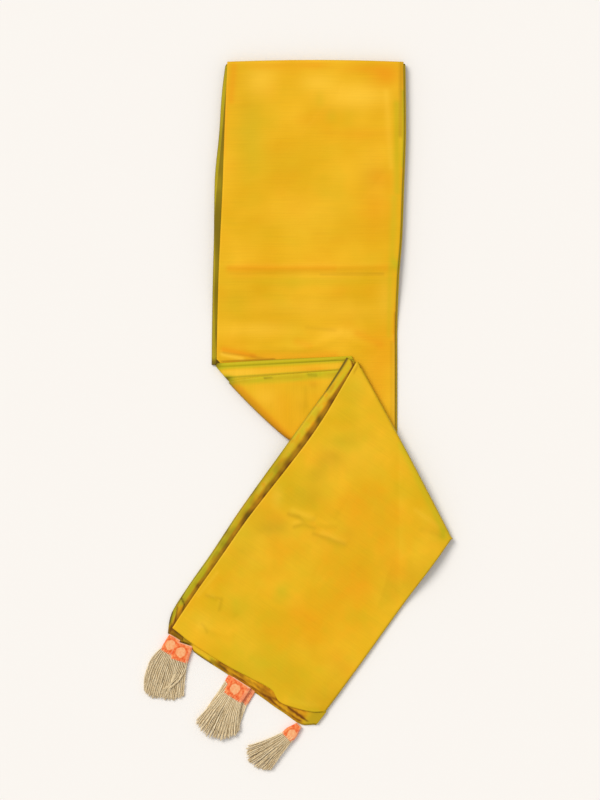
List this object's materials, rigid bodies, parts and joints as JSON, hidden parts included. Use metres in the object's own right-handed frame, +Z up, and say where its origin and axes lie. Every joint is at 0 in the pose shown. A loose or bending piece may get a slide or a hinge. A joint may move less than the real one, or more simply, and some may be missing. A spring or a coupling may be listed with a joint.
{
  "type": "folded saree",
  "caption": "Shot silk saree folded lengthwise into a long strip, laid flat and turned over on slanting creases, with tassels on its end edge.",
  "frame": {"origin": "middle of the underside, on the surface that the folded cloth lies on", "axes": "+Z up out of the cloth, +Y from the tasselled end towards the top fold, +X to the right as seen from above"},
  "size_m": [0.4978, 1.1346, 0.022],
  "materials": {
    "silk": "shot silk, mango yellow with a green cross thread, satin sheen",
    "silk_edge": "the same shot silk seen at its folds, where it turns olive green",
    "tassel": "orange printed cloth head and undyed thread, matt"
  },
  "bodies": {
    "root": {"folded_stack": "silk_edge", "upper_layers": "silk_edge", "upper_fold_edge": "silk_edge", "upper_stretch": "silk", "middle_layers": "silk_edge", "middle_fold_edge": "silk_edge", "middle_stretch": "silk", "lower_layers": "silk_edge", "lower_fold_edge": "silk_edge", "lower_stretch": "silk", "tassel_left_outer": "tassel", "tassel_left_inner": "tassel", "tassel_middle": "tassel", "tassel_middle_under": "tassel", "tassel_right": "tassel"}
  },
  "joints": []
}
